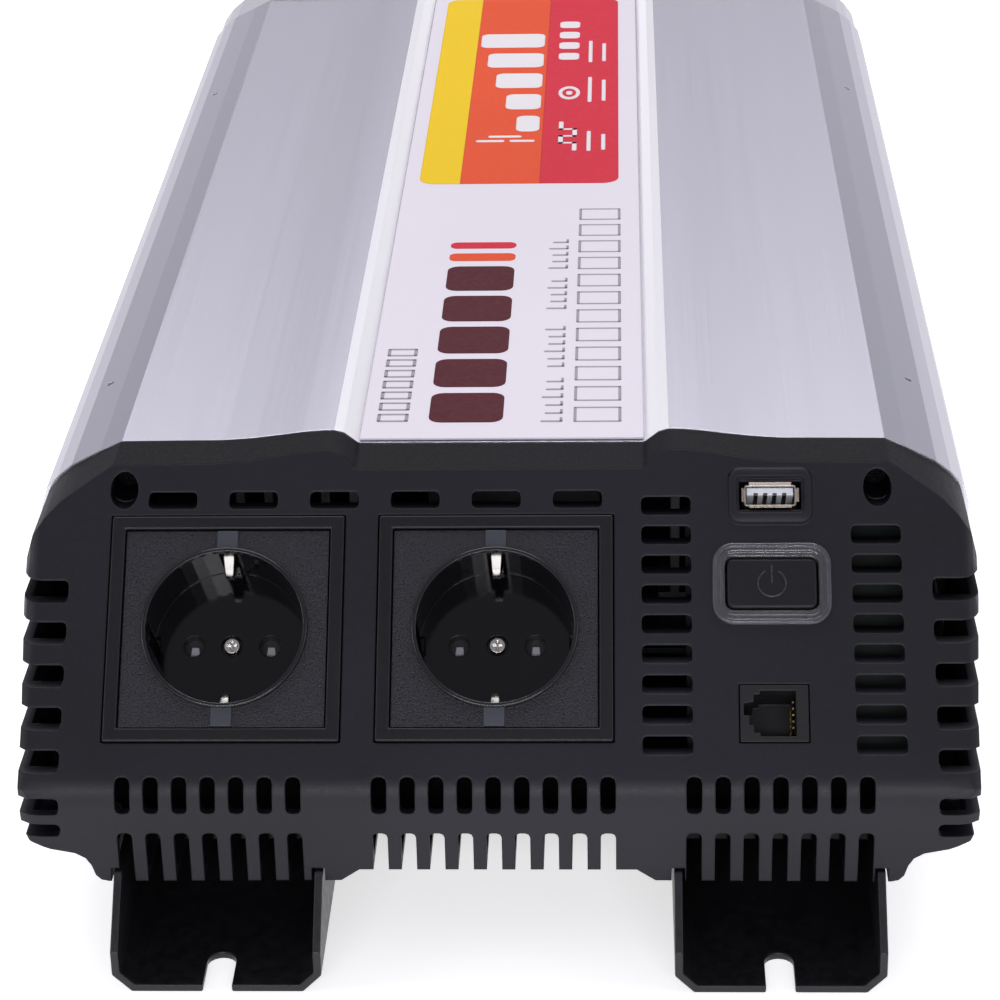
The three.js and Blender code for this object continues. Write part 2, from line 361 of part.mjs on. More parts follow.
// ---- rear cap ----
{
  const outer = prismY(mirrored([...CAP_TOP, ...CAP_BOTTOM]), REAR_Y0, REAR_Y1);
  let s = outer.subtract(prismY(mirrored(CAP_IN), REAR_Y0 - 1, REAR_Y1 - 3));
  s = s.intersect(prismZ(cornerPlan(117.2, 200, SKIRT_CORNER_R).map(([x, y]) => [x, REAR_Y1 - y]), -10, 160));
  s = s.subtract(box(-130, 130, REAR_Y0 - 1, REAR_Y0 + 2.7, 0, SPLIT_Z));
  s = s.add(prismY(ring(LIP_OUT, LIP_IN), REAR_Y0 - 5.5, REAR_Y0 + 3));
  for (const sx of [-1, 1]) s = s.add(cylY(sx * CAP_SCREW_X, zs(CAP_SCREW_S), 5, REAR_Y0, REAR_Y1 - 1, 20).intersect(outer));
  const c = [];
  for (const sx of [-1, 1]) {
    c.push(cylY(sx * CAP_SCREW_X, zs(CAP_SCREW_S), 3.25, REAR_Y1 - 4, REAR_Y1 + 2, 24), cylY(sx * CAP_SCREW_X, zs(CAP_SCREW_S), 1.9, REAR_Y0 - 9, REAR_Y1, 12));
    // louvred fan openings
    const disc = cylY(sx * FAN_X, FAN_Z, 27.5, REAR_Y1 - 6, REAR_Y1 + 2, 40);
    for (let k = -3; k <= 3; k++) c.push(disc.intersect(box(sx * FAN_X - 30, sx * FAN_X + 30, REAR_Y1 - 6, REAR_Y1 + 2, FAN_Z + k * 7.6 - 2.4, FAN_Z + k * 7.6 + 2.4)));
    c.push(cylY(sx * TERM_X, TERM_Z, 9, REAR_Y1 - 6, REAR_Y1 + 2, 28));
    for (const e of [-1, 1]) {
      const m = sx * FOOT_X + e * (FOOT_HALF - FOOT_T / 2);
      c.push(box(m - 1.6, m + 1.6, REAR_Y0 - 5, REAR_Y1 + 2, 15, 26.2));
    }
  }
  c.push(cylY(0, 44, 2.4, REAR_Y1 - 6, REAR_Y1 + 2, 12));
  piece("rear_cap", cut(s, c), 0xd4d3db, 0.5, 0.1);
  for (const [k, sx] of [["left", -1], ["right", 1]]) {
    const x = sx * CAP_SCREW_X, z = zs(CAP_SCREW_S);
    let q = cylY(x, z, 2.9, REAR_Y1 - 3.7, REAR_Y1 - 1.6, 18).add(cylY(x, z, 1.5, REAR_Y1 - 36, REAR_Y1 - 3, 12));
    q = q.subtract(box(x - 1.6, x + 1.6, REAR_Y1 - 2.6, REAR_Y1, z - 0.35, z + 0.35)).subtract(box(x - 0.35, x + 0.35, REAR_Y1 - 2.6, REAR_Y1, z - 1.6, z + 1.6));
    piece("rear_" + k + "_cap_screw", q, 0x4a494e, 0.35, 0.9);
  }
}

// ---- fans ----
for (const [k, sx] of [["left", -1], ["right", 1]]) {
  const x = sx * FAN_X, h = FAN_SIZE / 2, y1 = REAR_Y1 - 3 - GAP, y0 = y1 - FAN_T;
  let f = box(x - h, x + h, y0, y1, FAN_Z - h, FAN_Z + h).subtract(cylY(x, FAN_Z, 28.4, y0 - 1, y1 + 1, 40));
  f = f.subtract(box(x - h - 1, x - h + 3, y0 + 4, y1 - 4, FAN_Z - h + 7, FAN_Z + h - 7)).subtract(box(x + h - 3, x + h + 1, y0 + 4, y1 - 4, FAN_Z - h + 7, FAN_Z + h - 7));
  for (const a of [-1, 1]) for (const b of [-1, 1]) f = f.subtract(cylY(x + a * 25, FAN_Z + b * 25, 2.1, y0 - 1, y1 + 1, 12));
  // motor plate on four arms, on the inner side
  f = f.add(cylY(x, FAN_Z, 13, y0, y0 + 3, 28));
  for (let i = 0; i < 4; i++) {
    const a = Math.PI / 4 + (i * Math.PI) / 2;
    f = f.add(solid(new THREE.BoxGeometry(20, 3, 3).rotateY(-a).translate(x + 20 * Math.cos(a), y0 + 1.5, FAN_Z + 20 * Math.sin(a))));
  }
  piece(k + "_fan_frame", f, 0x1c1c1f, 0.5, 0);
  let r = cylY(x, FAN_Z, 12.5, y0 + 3.8, y1 - 1.4, 28);
  for (let i = 0; i < 7; i++) {
    const a = (i * 2 * Math.PI) / 7;
    const g = new THREE.BoxGeometry(16, 1.4, 15).rotateX(0.78).translate(19, 0, 0).rotateY(-a).translate(x, (y0 + y1) / 2 + 0.9, FAN_Z);
    r = r.add(solid(g).intersect(cylY(x, FAN_Z, 27.4, y0 + 3.9, y1 - 1.6, 40)));
  }
  piece(k + "_fan_rotor", r, 0x222226, 0.4, 0);
}

// ---- DC terminals and ground stud ----
for (const [k, sx, col] of [["positive", 1, 0xa81e1e], ["negative", -1, 0x1a1a1c]]) {
  const x = sx * TERM_X, y = REAR_Y1;
  let b = cylY(x, TERM_Z, 12, y + GAP, y + 7, 32).add(cylY(x, TERM_Z, 8.6, y - 9, y + 1, 28));
  b = b.subtract(cylY(x, TERM_Z, 4.4, y - 10, y + 10, 20));
  piece(k + "_terminal_base", b, col, 0.45, 0);
  piece(k + "_terminal_stud", cylY(x, TERM_Z, 4, y - 22, y + 19, 16), HEX.brass, 0.35, 0.9);
  let n = cylY(x, TERM_Z, 10, y + 9, y + 17, 12).add(cylY(x, TERM_Z, 11, y + 7.3, y + 9.5, 24));
  n = n.subtract(cylY(x, TERM_Z, 4.3, y, y + 40, 16));
  piece(k + "_terminal_knob", n, col, 0.45, 0);
}
piece("ground_stud", cylY(0, 44, 2, REAR_Y1 - 12, REAR_Y1 + 10, 14).add(cylY(0, 44, 4.4, REAR_Y1 + GAP, REAR_Y1 + 4, 6)), HEX.brass, 0.35, 0.9);

// ---- electronics ----
const BOARD_Z = 38.8;
for (const [k, sx] of [["left", -1], ["right", 1]]) {
  const x0 = sx * 58, pts = [[x0 - 18, BOARD_Z + GAP], [x0 + 18, BOARD_Z + GAP], [x0 + 18, 84]];
  for (let i = 0; i < 5; i++) { const e = x0 + 18 - 7.6 * i; pts.push([e, 84], [e - 2.4, 84], [e - 2.4, 44], [e - 7.6, 44]); }
  pts.splice(3, 1);
  pts.length -= 1;
  pts.push([x0 - 18, 44]);
  let hs = prismY(pts, 110, 400);
  piece(k + "_heatsink", hs, 0xb9bac0, 0.45, 0.9);
}
for (const [k, y] of [["front", 150], ["rear", 240]]) {
  // ferrite frame with the winding round its middle leg
  let core = box(-24, 24, y, y + 44, BOARD_Z + GAP, 82).subtract(box(-15, 15, y + 8, y + 36, BOARD_Z - 1, 90));
  let wd = box(-14.4, 14.4, y + 8.6, y + 35.4, BOARD_Z + 1, 78);
  piece(k + "_transformer_core", core, 0x3c3c40, 0.7, 0.2);
  piece(k + "_transformer_winding", wd, 0xb5642c, 0.5, 0.3);
}
for (const [i, y] of [330, 366, 402].entries()) {
  let cap = cylZ(0, y, 14.5, BOARD_Z + GAP, 84, 28);
  piece("bus_capacitor_" + (i + 1), cap, 0x2a3350, 0.4, 0);
}

// the origin is the middle of the underside
const b = new THREE.Box3().setFromObject(group);
group.children.forEach((m) => m.geometry.translate(-(b.min.x + b.max.x) / 2, -(b.min.y + b.max.y) / 2, -b.min.z));
export default group;
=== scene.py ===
import bpy, bmesh, math
from mathutils import Vector, Matrix


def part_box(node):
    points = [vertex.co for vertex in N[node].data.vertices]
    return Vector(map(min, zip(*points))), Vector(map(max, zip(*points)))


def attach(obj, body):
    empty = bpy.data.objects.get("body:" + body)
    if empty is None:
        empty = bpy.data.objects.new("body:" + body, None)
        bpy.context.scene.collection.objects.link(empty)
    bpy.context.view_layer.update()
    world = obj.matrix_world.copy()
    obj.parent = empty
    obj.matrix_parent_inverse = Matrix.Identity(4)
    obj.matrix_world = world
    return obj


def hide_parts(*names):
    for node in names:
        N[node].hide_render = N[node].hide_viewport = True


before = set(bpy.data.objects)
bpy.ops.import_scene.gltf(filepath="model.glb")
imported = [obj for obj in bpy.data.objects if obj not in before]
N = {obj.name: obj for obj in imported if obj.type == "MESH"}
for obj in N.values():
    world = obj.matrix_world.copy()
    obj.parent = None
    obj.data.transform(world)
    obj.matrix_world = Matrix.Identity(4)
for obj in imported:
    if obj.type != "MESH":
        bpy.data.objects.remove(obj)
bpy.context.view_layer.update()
SC = bpy.context.scene
R2 = math.sqrt(0.5)
REFINE, CREST = True, True
WORLD = (0.52, 1.0)                      # room brightness in front and behind
SKY = [(0.0, 1.1), (0.07, 1.1), (0.13, 0.22), (0.28, 0.26), (0.43, 0.56), (0.65, 0.50), (1.0, 0.42)]   # from the horizon up
LIGHTS = [("key_overhead", (0.0, 1.1, 1.9), (0, 0.1, 0.05), 1.6, 20),
          ("front_strip", (0.0, -2.2, 0.95), (0, -0.2, 0.07), 1.8, 20, (0.95, 0.95, 1), 0.26),
          ("fill_left", (-1.7, -0.5, 0.8), (0, -0.1, 0.05), 0.8, 4),
          ("fill_right", (1.7, -0.5, 0.8), (0, -0.1, 0.05), 0.8, 3)]
SOCKET_X, SOCKET_S, PIN_X = (-66.7, -0.7), 42.0, 9.5
PANEL_X, USB_S, BTN_S = 66.6, 8.5, 31.2

# ---------------------------------------------------------------- places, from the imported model
cap_lo, cap_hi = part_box("front_cap")
shell_lo, shell_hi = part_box("top_shell")
label_lo, label_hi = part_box("label_plate")
SKIRT_Y = cap_lo.y                      # the front of the skirt
FACE0 = Vector((0, SKIRT_Y + 0.0593, 0.106))   # top edge of the sloped face
UP = Vector((0, R2, R2))                # up the slope
OUT = Vector((0, -R2, R2))              # straight out of it
RX = Vector((1, 0, 0))


def on_face(x, s, w):
    """x across, s down the slope and w out of it, in millimetres."""
    return FACE0 + RX * (x / 1000) - UP * (s / 1000) + OUT * (w / 1000)


def at(x, y, z):
    """Millimetres from the skirt's foot line."""
    return Vector((x / 1000, SKIRT_Y + y / 1000, z / 1000))


# ---------------------------------------------------------------- node helpers
def new_mat(name):
    m = bpy.data.materials.new(name)
    m.use_nodes = True
    nt = m.node_tree
    bsdf = nt.nodes["Principled BSDF"]
    return m, nt, bsdf


def node(nt, kind, **vals):
    n = nt.nodes.new(kind)
    for k, v in vals.items():
        if hasattr(n, k):
            setattr(n, k, v)
        else:
            n.inputs[k.replace("_", " ")].default_value = v
    return n


def coords(nt, scale=(1, 1, 1)):
    t = nt.nodes.new("ShaderNodeTexCoord")
    mp = nt.nodes.new("ShaderNodeMapping")
    mp.inputs["Scale"].default_value = scale
    nt.links.new(t.outputs["Object"], mp.inputs["Vector"])
    return mp.outputs["Vector"]


def noise(nt, vec, scale, detail=3, rough=0.5):
    n = nt.nodes.new("ShaderNodeTexNoise")
    n.inputs["Scale"].default_value = scale
    n.inputs["Detail"].default_value = detail
    n.inputs["Roughness"].default_value = rough
    nt.links.new(vec, n.inputs["Vector"])
    return n.outputs["Fac"]


def ramp(nt, fac, stops):
    r = nt.nodes.new("ShaderNodeValToRGB")
    cr = r.color_ramp
    while len(cr.elements) > len(stops):
        cr.elements.remove(cr.elements[-1])
    while len(cr.elements) < len(stops):
        cr.elements.new(0.5)
    for e, (p, c) in zip(cr.elements, stops):
        e.position = p
        e.color = (c[0], c[1], c[2], 1) if isinstance(c, (tuple, list)) else (c, c, c, 1)
    nt.links.new(fac, r.inputs["Fac"])
    return r.outputs["Color"]


def bump(nt, bsdf, height, strength, distance, edge=0.0):
    b = nt.nodes.new("ShaderNodeBump")
    b.inputs["Strength"].default_value = strength
    b.inputs["Distance"].default_value = distance
    nt.links.new(height, b.inputs["Height"])
    if edge:
        v = nt.nodes.new("ShaderNodeBevel")
        v.samples = 6
        v.inputs["Radius"].default_value = edge
        nt.links.new(v.outputs["Normal"], b.inputs["Normal"])
    nt.links.new(b.outputs["Normal"], bsdf.inputs["Normal"])


def plastic(name, color, rough, grain=900.0, depth=0.00006, vary=0.25, spread=0.06, coat=0.0, edge=0.0004, spec=0.5, fleck=0.0):
    """Moulded plastic: a fine spark-eroded grain, and a slow change in tone and sheen."""
    m, nt, b = new_mat(name)
    v = coords(nt)
    slow = noise(nt, v, 14.0, 2)
    fine = noise(nt, v, grain, 2, 0.6)
    lo = tuple(c * (1 - vary) for c in color)
    hi = tuple(min(1, c * (1 + vary)) for c in color)
    if fleck:
        nt.links.new(ramp(nt, fine, [(0.36, tuple(c * (1 - fleck) for c in color)), (0.64, tuple(c * (1 + 2 * fleck) for c in color))]), b.inputs["Base Color"])
    else:
        nt.links.new(ramp(nt, slow, [(0.3, lo), (0.7, hi)]), b.inputs["Base Color"])
    nt.links.new(ramp(nt, fine, [(0.3, max(0, rough - spread)), (0.7, min(1, rough + spread))]), b.inputs["Roughness"])
    b.inputs["Specular IOR Level"].default_value = spec
    if coat:
        b.inputs["Coat Weight"].default_value = coat
        b.inputs["Coat Roughness"].default_value = 0.08
    bump(nt, b, fine, 0.35, depth, edge)
    return m


def metal(name, color, rough, stretch=(400, 8, 400), depth=0.00001, vary=0.08, metallic=1.0, spread=0.07, edge=0.0003):
    """Drawn or machined metal with fine lines along its length."""
    m, nt, b = new_mat(name)
    v = coords(nt, stretch)
    lines = noise(nt, v, 1.0, 3, 0.6)
    lo = tuple(c * (1 - vary) for c in color)
    hi = tuple(min(1, c * (1 + vary)) for c in color)
    nt.links.new(ramp(nt, lines, [(0.3, lo), (0.7, hi)]), b.inputs["Base Color"])
    nt.links.new(ramp(nt, lines, [(0.3, max(0.02, rough - spread)), (0.7, rough + spread)]), b.inputs["Roughness"])
    b.inputs["Metallic"].default_value = metallic
    bump(nt, b, lines, 0.2, depth, edge)
    return m


MAT = {}
MAT["cap"] = plastic("cap_plastic", (0.0075, 0.0070, 0.0115), 0.47, grain=1500, depth=0.00005, edge=0.0006, spec=0.34)
MAT["rear"] = plastic("rear_cap_plastic", (0.50, 0.49, 0.54), 0.4, vary=0.04, edge=0.0007)
MAT["frame"] = plastic("socket_frame_plastic", (0.0065, 0.006, 0.008), 0.36, grain=1600, depth=0.00002, spec=0.36)
MAT["plate"] = plastic("socket_plate_plastic", (0.0062, 0.0056, 0.009), 0.46, grain=2100, depth=0.0006, spread=0.2, spec=0.5, fleck=0.6)
MAT["cup"] = plastic("socket_cup_plastic", (0.0022, 0.0021, 0.003), 0.10, grain=300, depth=0.000002, spread=0.02, spec=0.4)
MAT["ring"] = plastic("socket_ring_plastic", (0.0075, 0.007, 0.009), 0.3, grain=1200, depth=0.00001, spread=0.04, spec=0.45)
MAT["rim"] = plastic("socket_rim_plastic", (0.006, 0.006, 0.008), 0.16, grain=900, depth=0.000004, spread=0.03, spec=0.55)
MAT["tab"] = plastic("socket_tab_plastic", (0.040, 0.044, 0.056), 0.42, grain=1300, depth=0.00004)
MAT["jack"] = plastic("jack_plastic", (0.006, 0.0056, 0.0075), 0.5, grain=1300, depth=0.00012, spec=0.4)
MAT["button"] = plastic("button_plastic", (0.0062, 0.006, 0.008), 0.4, grain=1500, depth=0.00003, spec=0.34)
MAT["inner"] = plastic("inner_plastic", (0.008, 0.008, 0.010), 0.55)
MAT["white"] = plastic("white_plastic", (0.72, 0.76, 0.82), 0.35, vary=0.05)
MAT["shutter"] = plastic("shutter_plastic", (0.006, 0.006, 0.007), 0.45, vary=0.1)
MAT["ramp"] = plastic("shutter_ramp_plastic", (0.34, 0.34, 0.37), 0.45, vary=0.08)
MAT["fan"] = plastic("fan_plastic", (0.012, 0.012, 0.014), 0.4)
MAT["red"] = plastic("terminal_red", (0.42, 0.015, 0.015), 0.35)
MAT["black"] = plastic("terminal_black", (0.014, 0.014, 0.015), 0.35)
MAT["alu"] = metal("anodised_aluminium", (0.70, 0.70, 0.765), 0.25, stretch=(2600, 6, 2600), depth=0.000002, vary=0.012, spread=0.02, metallic=0.85)
MAT["heatsink"] = metal("heatsink_aluminium", (0.16, 0.16, 0.18), 0.45, stretch=(500, 6, 500))
MAT["steel"] = metal("bright_steel", (0.66, 0.64, 0.60), 0.24, stretch=(700, 700, 700))
MAT["dark_steel"] = metal("dark_screw", (0.012, 0.012, 0.014), 0.42, stretch=(700, 700, 700))
MAT["usb"] = metal("usb_metal", (0.42, 0.37, 0.32), 0.3, stretch=(600, 60, 60))
MAT["gold"] = metal("gold_contacts", (0.30, 0.22, 0.10), 0.32, stretch=(600, 600, 600))
MAT["pin"] = metal("usb_contact_bronze", (0.14, 0.12, 0.10), 0.4, stretch=(600, 600, 600))
MAT["brass"] = metal("terminal_brass", (0.75, 0.56, 0.26), 0.3, stretch=(600, 600, 600))
MAT["rail"] = metal("rail_paint", (0.010, 0.0095, 0.012), 0.40, stretch=(330, 330, 330), depth=0.00005, vary=0.25, metallic=0.1)
MAT["tray"] = metal("tray_paint", (0.02, 0.02, 0.023), 0.45, stretch=(260, 260, 260), depth=0.00005, vary=0.2, metallic=0.3)
MAT["ferrite"] = plastic("ferrite", (0.05, 0.05, 0.055), 0.7)
MAT["winding"] = plastic("winding_tape", (0.45, 0.04, 0.04), 0.4, vary=0.2)
MAT["capacitor"] = plastic("capacitor_sleeve", (0.03, 0.05, 0.14), 0.3)
# near-black boards, darkened so that the inside seen through the vents stays dark: painted shade
MAT["board"] = plastic("circuit_board", (0.0025, 0.008, 0.006), 0.5, grain=500, depth=0.0001, vary=0.5)
MAT["label"] = plastic("label_print", (0.83, 0.78, 0.85), 0.42, grain=700, depth=0.00001, vary=0.012, spread=0.03, spec=0.4)
MAT["ink_yellow"] = plastic("ink_yellow", (0.93, 0.62, 0.001), 0.5, grain=700, depth=0.00001, vary=0.02, spec=0.12)
MAT["ink_orange"] = plastic("ink_orange", (0.83, 0.085, 0.018), 0.5, grain=700, depth=0.00001, vary=0.03, spec=0.12)
MAT["ink_red"] = plastic("ink_red", (0.70, 0.018, 0.046), 0.5, grain=700, depth=0.00001, vary=0.03, spec=0.12)
MAT["ink_maroon"] = plastic("ink_maroon", (0.080, 0.003, 0.010), 0.5, grain=700, depth=0.00001, vary=0.08, spec=0.12)
MAT["ink_grey"] = plastic("ink_grey", (0.36, 0.33, 0.37), 0.45, grain=700, depth=0.00001, vary=0.05)
MAT["ink_white"] = plastic("ink_white", (0.88, 0.84, 0.86), 0.4, grain=700, depth=0.00001, vary=0.015)


def clear_plastic(name):
    m, nt, b = new_mat(name)
    v = coords(nt)
    slow = noise(nt, v, 60.0, 2)
    nt.links.new(ramp(nt, slow, [(0.3, (0.52, 0.52, 0.58)), (0.7, (0.58, 0.58, 0.64))]), b.inputs["Base Color"])
    nt.links.new(ramp(nt, slow, [(0.3, 0.05), (0.7, 0.12)]), b.inputs["Roughness"])
    b.inputs["Transmission Weight"].default_value = 0.93
    b.inputs["IOR"].default_value = 1.45
    bump(nt, b, slow, 0.05, 0.00001, 0.0003)
    return m


MAT["clear"] = clear_plastic("clear_bezel")
# a darker copy of the cap plastic for the cap's top strip: painted shade, the strip is the same moulding as the face
MAT["cap_top"] = plastic("cap_top_painted_shade", (0.0016, 0.0016, 0.0036), 0.55, grain=1500, depth=0.00005, edge=0.0012, spec=0.1)
# the symbol's lighter tone is a painted highlight; the emboss is moulded in the button's own dark plastic
MAT["symbol"] = plastic("button_symbol_painted_highlight", (0.022, 0.022, 0.027), 0.3, grain=900, depth=0.00001, spec=0.6)

# ---------------------------------------------------------------- finishes of the CAD pieces
LOOK = {
    "top_shell": "alu", "label_plate": "label", "front_cap": "cap", "rear_cap": "rear", "base_tray": "tray",
    "left_foot_rail": "rail", "right_foot_rail": "rail", "usb_shell": "usb", "usb_tongue": "white",
    "power_button_bezel": "clear", "power_button": "button", "power_switch_body": "inner", "remote_jack": "jack",
    "remote_jack_contacts": "gold", "front_board": "board", "main_board": "board",
    "left_heatsink": "heatsink", "right_heatsink": "heatsink", "front_transformer_core": "ferrite",
    "rear_transformer_core": "ferrite", "front_transformer_winding": "winding", "rear_transformer_winding": "winding",
    "bus_capacitor_1": "capacitor", "bus_capacitor_2": "capacitor", "bus_capacitor_3": "capacitor",
    "left_fan_frame": "fan", "right_fan_frame": "fan", "left_fan_rotor": "fan", "right_fan_rotor": "fan",
    "positive_terminal_base": "red", "positive_terminal_knob": "red", "negative_terminal_base": "black",
    "negative_terminal_knob": "black", "positive_terminal_stud": "brass", "negative_terminal_stud": "brass",
    "ground_stud": "brass", "front_left_cap_screw": "dark_steel", "front_right_cap_screw": "dark_steel",
    "rear_left_cap_screw": "dark_steel", "rear_right_cap_screw": "dark_steel",
    "left_foot_front_screw": "steel", "left_foot_rear_screw": "steel", "right_foot_front_screw": "steel",
    "right_foot_rear_screw": "steel",
}
for k in ("left", "centre"):
    LOOK.update({k + "_socket_frame": "frame", k + "_socket_insert": "plate", k + "_socket_earth_clip": "steel",
                 k + "_socket_screw": "steel", k + "_socket_shutter": "shutter", k + "_socket_contact_block": "inner",
                 k + "_socket_left_contact": "brass", k + "_socket_right_contact": "brass"})
for n, o in N.items():
    o.data.materials.clear()
    o.data.materials.append(MAT[LOOK[n]])
    for p in o.data.polygons:
        p.use_smooth = True
    o.data.set_sharp_from_angle(angle=math.radians(28))


# the walls of the shell's channel are painted brighter than its brushed top: a painted highlight on the one extrusion,
# which has one finish
MAT["alu_bright"] = metal("aluminium_painted_highlight", (0.98, 0.98, 1.0), 0.22, stretch=(2600, 6, 2600), depth=0.000001, vary=0.01, spread=0.02, metallic=0.15)
N["top_shell"].data.materials.append(MAT["alu_bright"])
for p in N["top_shell"].data.polygons:
    if abs(p.center.x) < 0.047 and 0.2 < abs(p.normal.x) < 0.95 and p.normal.z > 0.2:
        p.material_index = 1


# and its outer chamfers and sides are painted darker and duller: painted shade on the same aluminium
MAT["alu_dull"] = metal("aluminium_painted_shade", (0.40, 0.40, 0.45), 0.34, stretch=(2600, 6, 2600), depth=0.000001, vary=0.01, spread=0.02, metallic=0.7)
N["top_shell"].data.materials.append(MAT["alu_dull"])
for p in N["top_shell"].data.polygons:
    if abs(p.center.x) > 0.0955 and -0.2 < p.normal.z < 0.97 and abs(p.normal.y) < 0.3:
        p.material_index = 2


# ---------------------------------------------------------------- new pieces
def make(name, bm, mat, body="housing", smooth=28):
    me = bpy.data.meshes.new(name)
    bmesh.ops.recalc_face_normals(bm, faces=bm.faces)
    bm.to_mesh(me)
    bm.free()
    o = bpy.data.objects.new(name, me)
    SC.collection.objects.link(o)
    me.materials.append(mat)
    for p in me.polygons:
        p.use_smooth = True
    me.set_sharp_from_angle(angle=math.radians(smooth))
    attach(o, body)
    return o


def slab(bm, outline, z0, z1, to=lambda x, y, z: Vector((x, y, z))):
    """A closed prism on an outline of (x, y), between z0 and z1."""
    lo = [bm.verts.new(to(x, y, z0)) for x, y in outline]
    hi = [bm.verts.new(to(x, y, z1)) for x, y in outline]
    bm.faces.new(list(reversed(lo)))
    bm.faces.new(hi)
    k = len(outline)
    for i in range(k):
        bm.faces.new((lo[i], lo[(i + 1) % k], hi[(i + 1) % k], hi[i]))


def rounded(x0, x1, y0, y1, r, corners=(1, 1, 1, 1), seg=6):
    """Corners in the order lower left, lower right, upper right, upper left."""
    out = []
    for (cx, cy, a0), on in zip(((x0 + r, y0 + r, 180), (x1 - r, y0 + r, 270), (x1 - r, y1 - r, 0), (x0 + r, y1 - r, 90)), corners):
        if not on:
            out.append((x0 if cx == x0 + r else x1, y0 if cy == y0 + r else y1))
            continue
        for i in range(seg + 1):
            a = math.radians(a0 + 90 * i / seg)
            out.append((cx + r * math.cos(a), cy + r * math.sin(a)))
    return out


# label print: a coloured panel at the far end and plain generic marks, no lettering
LZ = label_hi.z * 1000
def flat(x, y, z):
    return at(x, y, z)

def print_piece(name, outlines, mat, level=0):
    bm = bmesh.new()
    for o in outlines:
        slab(bm, o, LZ + 0.01 + 0.04 * level, LZ + 0.05 + 0.04 * level, flat)
    return make(name, bm, mat)

def bar(x0, x1, y0, y1, r=None, seg=4):
    return rounded(x0, x1, y0, y1, min(x1 - x0, y1 - y0) * 0.45 if r is None else r, seg=seg)

def outline_of(x0, x1, y0, y1, t):
    """A thin hollow rectangle as four strokes."""
    return [bar(x0, x1, y0, y0 + t), bar(x0, x1, y1 - t, y1), bar(x0, x0 + t, y0 + t * 0.5, y1 - t * 0.5), bar(x1 - t, x1, y0 + t * 0.5, y1 - t * 0.5)]

Y0, Y1 = 260.8, (label_hi.y - SKIRT_Y) * 1000 - 2.0
print_piece("label_panel_yellow", [rounded(-31.25, -18.75, Y0, Y1, 5, (1, 0, 0, 1))], MAT["ink_yellow"])
print_piece("label_panel_orange", [rounded(-18.75, 5.55, Y0, Y1, 5, (0, 0, 0, 0))], MAT["ink_orange"])
print_piece("label_panel_red", [rounded(5.55, 29.65, Y0, Y1, 5, (0, 1, 1, 0))], MAT["ink_red"])
# plain blocks and strokes stand where the object carries its maker's printing
print_piece("label_blocks_maroon", [bar(-19.0, 0.0, y, y + 18.6, 3.2) for y in (84, 106.4, 128.8, 151.2, 173.6)], MAT["ink_maroon"])
print_piece("label_block_orange", [bar(-19.0, 0.0, 196.4, 202.4, 2)], MAT["ink_orange"])
print_piece("label_block_red", [bar(-19.0, 0.0, 206.2, 211.2, 2)], MAT["ink_red"])
thin = []
for k in range(12):
    y = 84 + 13.2 * k
    thin += outline_of(18.0, 30.2, y, y + 9.4, 0.75)
for k in range(26):
    if k in (6, 13, 14, 20):
        continue
    thin.append(bar(10.6 if k % 3 else 9.6, 15.2, 84 + 5.05 * k, 85.0 + 5.05 * k))
    thin.append(bar(14.5, 15.2, 84.4 + 5.05 * k, 87.0 + 5.05 * k))
for k in range(7):
    thin += outline_of(-32.2, -24.2, 84.5 + 7.1 * k, 89.6 + 7.1 * k, 0.9)
print_piece("label_strokes_grey", thin, MAT["ink_grey"])
white = [bar(4.4 - l, 4.4, y, y + 15.5, 2.6) for y, l in ((309, 7.5), (331, 11.5), (353, 15.5), (375, 19.0), (397, 22.0))]
white += [bar(-15.4, -6.4, 299, 301, 0.8), bar(-4.8, 3.2, 299, 301, 0.8), bar(-11.6, -1.0, 303.2, 305.2, 0.8)]
# a stepped wave, a ring with a dot, and a short row of blocks
wy, up = 290.5, False
for k in range(4):
    x0, x1 = (10.6, 12.1) if up else (15.0, 16.5)
    white.append(bar(x0, x1, wy, wy + 8.0, 0.5))
    if k < 3:
        white.append(bar(10.6, 16.5, wy + 6.6, wy + 8.0, 0.5))
    wy += 6.6
    up = not up
ring_pts = 20
for k in range(ring_pts):
    a0, a1 = 2 * math.pi * k / ring_pts, 2 * math.pi * (k + 1) / ring_pts
    white.append([(13.5 + q * math.cos(a), 347.5 + q * 1.9 * math.sin(a)) for q, a in ((3.6, a0), (3.6, a1), (2.3, a1), (2.3, a0))])
white.append(bar(12.5, 14.5, 345.6, 349.4, 0.9))
white += [bar(9.4, 16.4, 383 + 12 * k, 390.5 + 12 * k, 1.8) for k in range(4)]
for y0, y1 in ((290, 309), (338, 364), (380, 404)):
    white += [bar(19.6, 20.9, y0, y1), bar(24.2, 25.5, y0 + 1, y1 - 3)]
print_piece("label_marks_white", white, MAT["ink_white"], 1)


